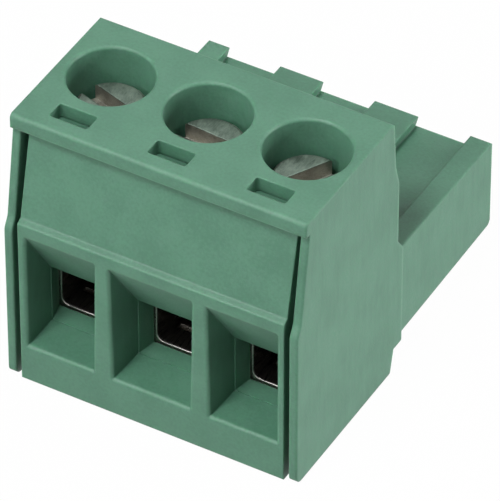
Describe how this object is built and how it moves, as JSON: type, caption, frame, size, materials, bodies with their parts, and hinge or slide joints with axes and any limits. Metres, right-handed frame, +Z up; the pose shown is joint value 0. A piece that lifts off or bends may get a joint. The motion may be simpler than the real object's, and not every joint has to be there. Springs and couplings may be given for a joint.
{
  "type": "pluggable terminal block",
  "caption": "Green plug-in screw terminal block with funnelled wire entries, driver wells on top and a plug section for a board header behind.",
  "frame": {"origin": "centre of the bounding box's bottom face, on the plane that the block stands on", "axes": "+X along the row of poles, +Y from the wire entries to the plug section, +Z up through the wells"},
  "size_m": [0.0152, 0.0184, 0.015],
  "materials": {
    "green_polyamide": "moulded, fine satin",
    "plated_screw": "zinc plated, satin",
    "plated_cage": "nickel plated, bright",
    "tinned_contact": "tin plated, satin"
  },
  "bodies": {
    "root": {"housing": "green_polyamide", "wire_entry_cover": "green_polyamide", "contact_1": "tinned_contact", "contact_2": "tinned_contact", "contact_3": "tinned_contact"},
    "screw_1": {"clamp_screw_1": "plated_screw"},
    "cage_1": {"clamp_cage_1": "plated_cage"},
    "screw_2": {"clamp_screw_2": "plated_screw"},
    "cage_2": {"clamp_cage_2": "plated_cage"},
    "screw_3": {"clamp_screw_3": "plated_screw"},
    "cage_3": {"clamp_cage_3": "plated_cage"}
  },
  "joints": [
    {"name": "cage_lift_1", "type": "slide", "parent": "root", "child": "cage_1", "axis": [0, 0, 1], "range_m": [0, 0.0028]},
    {"name": "screw_turn_1", "type": "hinge", "parent": "root", "child": "screw_1", "pos_m": [-0.00508, -0.00389, 0.01], "axis": [0, 0, -1], "range_deg": [0, 2016]},
    {"name": "cage_lift_2", "type": "slide", "parent": "root", "child": "cage_2", "axis": [0, 0, 1], "range_m": [0, 0.0028]},
    {"name": "screw_turn_2", "type": "hinge", "parent": "root", "child": "screw_2", "pos_m": [0, -0.00389, 0.01], "axis": [0, 0, -1], "range_deg": [0, 2016]},
    {"name": "cage_lift_3", "type": "slide", "parent": "root", "child": "cage_3", "axis": [0, 0, 1], "range_m": [0, 0.0028]},
    {"name": "screw_turn_3", "type": "hinge", "parent": "root", "child": "screw_3", "pos_m": [0.00508, -0.00389, 0.01], "axis": [0, 0, -1], "range_deg": [0, 2016]}
  ],
  "couplings": [
    {"joint": "screw_turn_1", "follows": "cage_lift_1", "rad_per_m": 12566},
    {"joint": "screw_turn_2", "follows": "cage_lift_2", "rad_per_m": 12566},
    {"joint": "screw_turn_3", "follows": "cage_lift_3", "rad_per_m": 12566}
  ]
}
